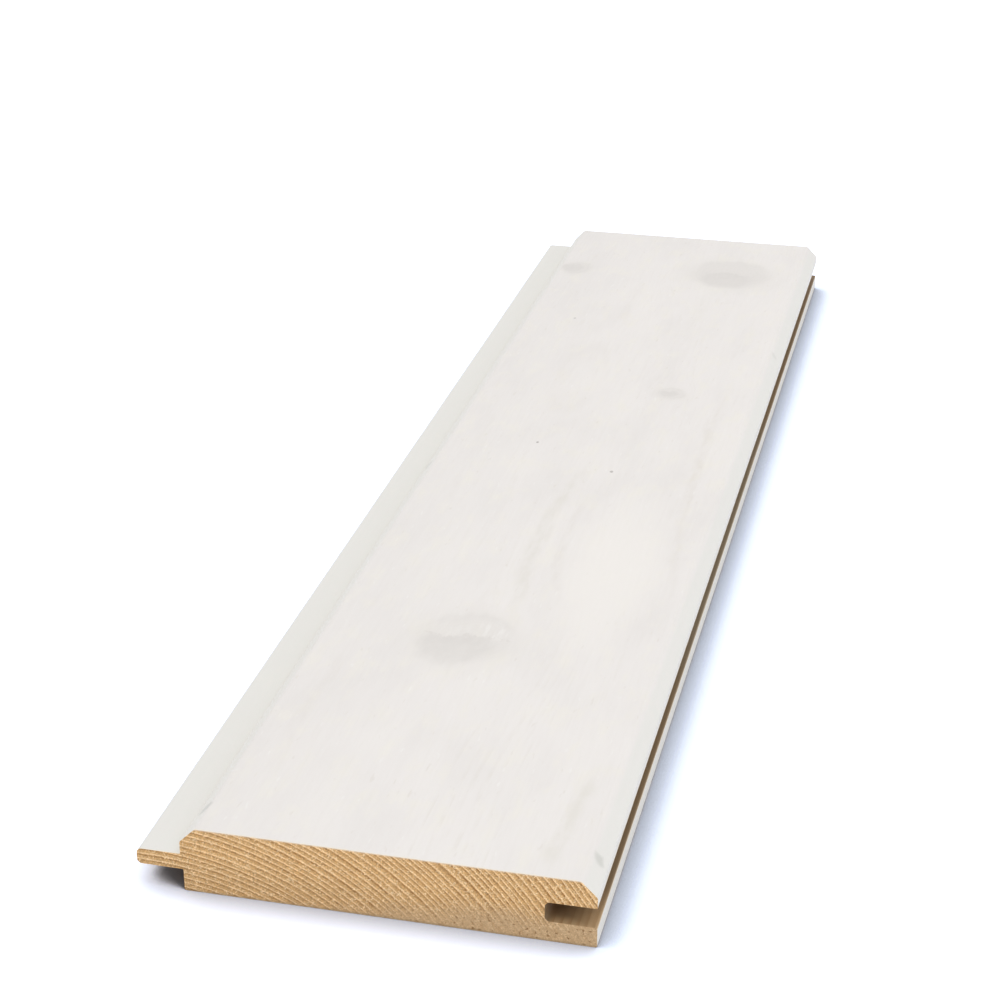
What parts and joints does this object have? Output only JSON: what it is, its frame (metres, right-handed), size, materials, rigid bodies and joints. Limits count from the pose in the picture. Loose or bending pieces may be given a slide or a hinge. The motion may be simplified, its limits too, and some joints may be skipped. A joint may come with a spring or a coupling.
{
  "type": "tongue and groove board",
  "caption": "Flat planed softwood board, white on its face, with a round-nosed tongue along one edge, a groove along the other and bevelled face edges, for lining walls and ceilings.",
  "frame": {"origin": "on the back face, in the middle of the length and of the overall width", "axes": "+Y along the board, +Z out of the good face, -X out of the tongue's nose and +X out of the groove's mouth"},
  "size_m": [0.096, 0.4, 0.015],
  "materials": {
    "white_stained_pine": "thin white stain, satin, over planed pine; sawn ends, groove and back are bare"
  },
  "bodies": {
    "root": {"tongue_and_groove_board": "white_stained_pine"}
  },
  "joints": []
}
